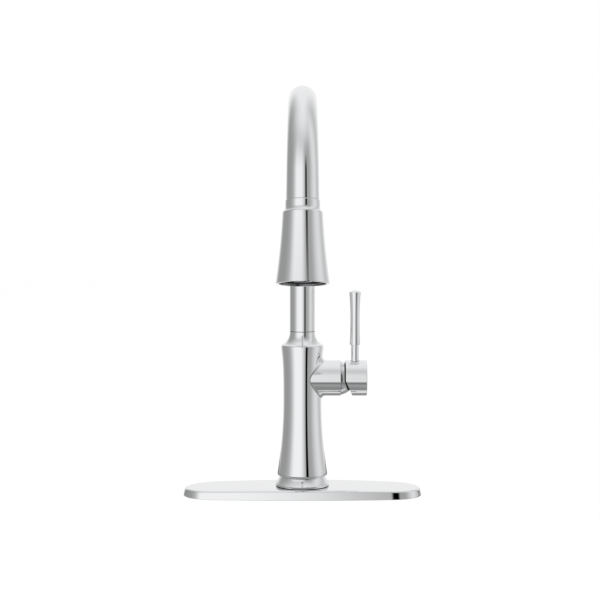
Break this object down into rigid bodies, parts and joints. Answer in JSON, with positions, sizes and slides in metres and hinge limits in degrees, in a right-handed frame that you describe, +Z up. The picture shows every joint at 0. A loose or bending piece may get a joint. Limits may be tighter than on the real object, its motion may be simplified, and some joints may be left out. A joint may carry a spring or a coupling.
{
  "type": "pull-down kitchen faucet",
  "caption": "Gooseneck kitchen faucet on a long deck plate, with a side lever and a docking spray head on a hose.",
  "frame": {"origin": "centre of the mounting shank where it leaves the deck plate's foot, on the deck plane", "axes": "+Z up along the body, -Y towards the sink bowl and the person, +X towards the handle"},
  "size_m": [0.254, 0.2509, 0.4882],
  "materials": {
    "chrome": "polished chrome",
    "brass": "turned",
    "steel": "bright",
    "rubber": "matt",
    "dark_plastic": "satin",
    "pale_plastic": "satin",
    "grey_plastic": "satin",
    "hose": "woven",
    "ceramic": "lapped ceramic"
  },
  "bodies": {
    "base": {"deck_plate": "chrome", "under_plate": "dark_plastic", "deck_seal": "rubber", "base_ring": "chrome", "base_seal": "rubber", "mounting_shank": "brass", "faucet_body": "chrome", "waterway_core": "pale_plastic", "neck_collar": "chrome", "upper_bushing": "pale_plastic", "lower_bushing": "pale_plastic", "cartridge_seals": "rubber", "cartridge_housing": "grey_plastic", "fixed_disc": "ceramic", "bonnet_nut": "brass", "dome_cap": "chrome", "lower_hose": "hose", "hose_inlet": "brass"},
    "spout": {"spout_tube": "chrome", "spout_sleeve": "brass", "retaining_clip": "steel", "dock_insert": "dark_plastic", "dock_magnet": "steel", "spray_hose": "hose"},
    "cartridge_stem": {"stem_carrier": "pale_plastic", "tilt_pin": "steel"},
    "mixing_disc": {"moving_disc": "ceramic", "disc_guide": "pale_plastic"},
    "handle": {"valve_spindle": "steel", "handle_hub": "chrome", "hub_screw": "steel", "lever_stem": "chrome", "lever_grip": "chrome"},
    "hose_end": {"hose_ferrule": "steel", "hose_tail": "hose", "swivel_stem": "brass"},
    "wand": {"dock_plug": "dark_plastic", "keeper_ring": "steel", "head_shell": "chrome", "head_core": "pale_plastic", "check_valve": "dark_plastic", "face_ring": "dark_plastic", "spray_face": "rubber", "aerator_housing": "grey_plastic", "aerator_screen": "steel", "face_seal": "rubber", "rocker_pin": "steel"},
    "rocker": {"mode_rocker": "grey_plastic"},
    "spool": {"diverter_spool": "grey_plastic"}
  },
  "joints": [
    {"name": "spout_swivel", "type": "hinge", "parent": "base", "child": "spout", "pos_m": [0, 0, 0.1755], "axis": [0, 0, 1], "range_deg": [-180, 180]},
    {"name": "handle_turn", "type": "hinge", "parent": "base", "child": "cartridge_stem", "pos_m": [0.038, 0, 0.1255], "axis": [1, 0, 0], "range_deg": [-45, 45]},
    {"name": "handle_lift", "type": "hinge", "parent": "cartridge_stem", "child": "handle", "pos_m": [0.038, 0, 0.1255], "axis": [0, 1, 0], "range_deg": [0, 25]},
    {"name": "disc_slide", "type": "slide", "parent": "cartridge_stem", "child": "mixing_disc", "axis": [0, 0, 1], "range_m": [0, 0.0054]},
    {"name": "hose_pull", "type": "slide", "parent": "spout", "child": "hose_end", "axis": [0, -0.1564, -0.9877], "range_m": [0, 0.22], "stiffness_N_per_m": 10, "springref_m": -0.6},
    {"name": "head_turn", "type": "hinge", "parent": "hose_end", "child": "wand", "pos_m": [0, -0.17989, 0.31186], "axis": [0, -0.1564, -0.9877], "continuous": true},
    {"name": "rocker_tilt", "type": "hinge", "parent": "wand", "child": "rocker", "pos_m": [0, -0.16861, 0.27565], "axis": [-1, 0, 0], "range_deg": [0, 10]},
    {"name": "spool_slide", "type": "slide", "parent": "wand", "child": "spool", "axis": [0, -0.9877, 0.1564], "range_m": [0, 0.0012]}
  ],
  "couplings": [
    {"joint": "disc_slide", "follows": "handle_lift", "m_per_rad": 0.012107},
    {"joint": "spool_slide", "follows": "rocker_tilt", "m_per_rad": 0.005156}
  ]
}
